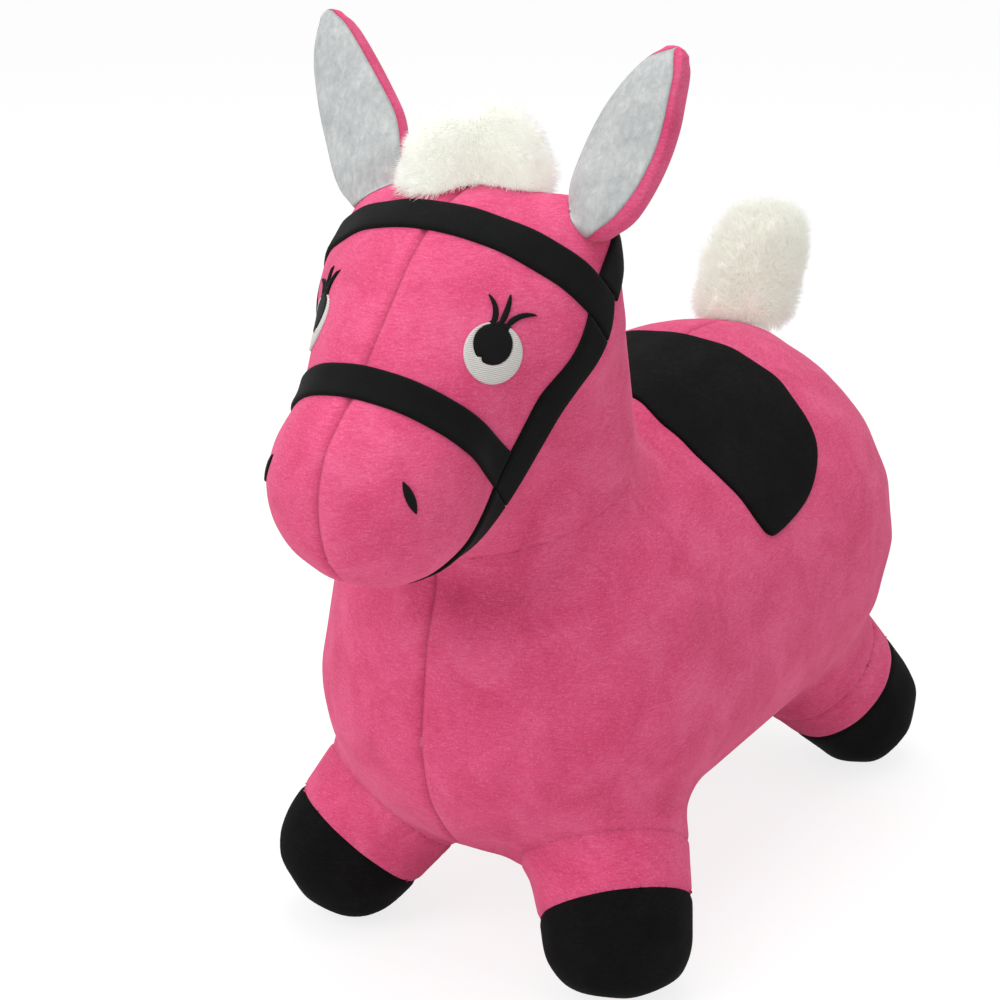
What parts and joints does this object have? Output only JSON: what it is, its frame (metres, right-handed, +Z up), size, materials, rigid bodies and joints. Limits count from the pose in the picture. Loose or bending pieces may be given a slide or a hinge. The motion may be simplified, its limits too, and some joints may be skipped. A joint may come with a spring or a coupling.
{
  "type": "bouncy ride on animal",
  "caption": "Inflatable ride-on animal: a vinyl bladder in a sewn plush cover with bridle straps, saddle patch, embroidered eyes, soft ears, fur mane and tail, belly zip and air valve.",
  "frame": {"origin": "on the ground under the middle of the animal's outer box", "axes": "+Z up, -Y to the animal's face, +X to its left side"},
  "size_m": [0.2544, 0.5184, 0.5117],
  "materials": {
    "plush": "short pink plush",
    "black_plush": "short black plush",
    "white_plush": "short white plush",
    "webbing": "flat black strap",
    "vinyl": "soft vinyl, satin",
    "rubber": "soft white moulding",
    "white_thread": "satin-stitch embroidery",
    "black_thread": "satin-stitch embroidery",
    "fur": "long white artificial fur",
    "wadding": "polyester wadding",
    "tape": "woven zip tape",
    "nylon": "moulded nylon",
    "metal": "nickel plate"
  },
  "bodies": {
    "animal": {"air_bladder": "vinyl", "browband": "webbing", "cheek_strap_left": "webbing", "cheek_strap_right": "webbing", "chin_strap": "webbing", "cover_body_left": "plush", "cover_body_right": "plush", "cover_head_left": "plush", "cover_head_right": "plush", "crown_strap": "webbing", "eye_white_left": "white_thread", "eye_white_right": "white_thread", "hoof_cover_front_left": "black_plush", "hoof_cover_front_right": "black_plush", "hoof_cover_rear_left": "black_plush", "hoof_cover_rear_right": "black_plush", "lashes_left": "black_thread", "lashes_right": "black_thread", "leg_sleeve_front_left": "plush", "leg_sleeve_front_right": "plush", "leg_sleeve_rear_left": "plush", "leg_sleeve_rear_right": "plush", "mane_backing": "white_plush", "mane_tuft": "fur", "noseband": "webbing", "nostril_left": "black_thread", "nostril_right": "black_thread", "pupil_left": "black_thread", "pupil_right": "black_thread", "saddle_patch": "black_plush", "tail_patch": "plush", "valve_eyelet": "rubber", "valve_seat": "vinyl", "zip_stop_front": "nylon", "zip_stop_rear": "nylon", "zip_tape_left": "tape", "zip_tape_right": "tape", "zip_teeth_left": "nylon", "zip_teeth_right": "nylon"},
    "ear_left": {"ear_back_left": "plush", "ear_lining_left": "white_plush", "ear_stuffing_left": "wadding"},
    "ear_right": {"ear_back_right": "plush", "ear_lining_right": "white_plush", "ear_stuffing_right": "wadding"},
    "tail": {"tail_core": "plush", "tail_tuft": "fur"},
    "slider": {"zip_slider": "metal"},
    "pull": {"zip_pull": "metal"},
    "plug": {"air_plug": "rubber"}
  },
  "joints": [
    {"name": "ear_left_flop", "type": "hinge", "parent": "animal", "child": "ear_left", "pos_m": [0.07099, -0.10738, 0.43206], "axis": [0.6062, 0, -0.7953], "range_deg": [-15, 25], "stiffness_Nm_per_rad": 0.06},
    {"name": "ear_right_flop", "type": "hinge", "parent": "animal", "child": "ear_right", "pos_m": [-0.07099, -0.10738, 0.43206], "axis": [0.6062, 0, 0.7953], "range_deg": [-15, 25], "stiffness_Nm_per_rad": 0.06},
    {"name": "tail_flop", "type": "hinge", "parent": "animal", "child": "tail", "pos_m": [0, 0.20976, 0.28118], "axis": [1, 0, 0], "range_deg": [-30, 12], "stiffness_Nm_per_rad": 0.15},
    {"name": "zip_travel", "type": "slide", "parent": "animal", "child": "slider", "axis": [0, 1, 0.0021], "range_m": [0, 0.09]},
    {"name": "zip_pull_swing", "type": "hinge", "parent": "slider", "child": "pull", "pos_m": [0, -0.0385, 0.04674], "axis": [1, 0, 0], "range_deg": [-80, 80]},
    {"name": "plug_pull", "type": "slide", "parent": "animal", "child": "plug", "axis": [0, 0.0046, -1], "range_m": [0, 0.018]}
  ]
}
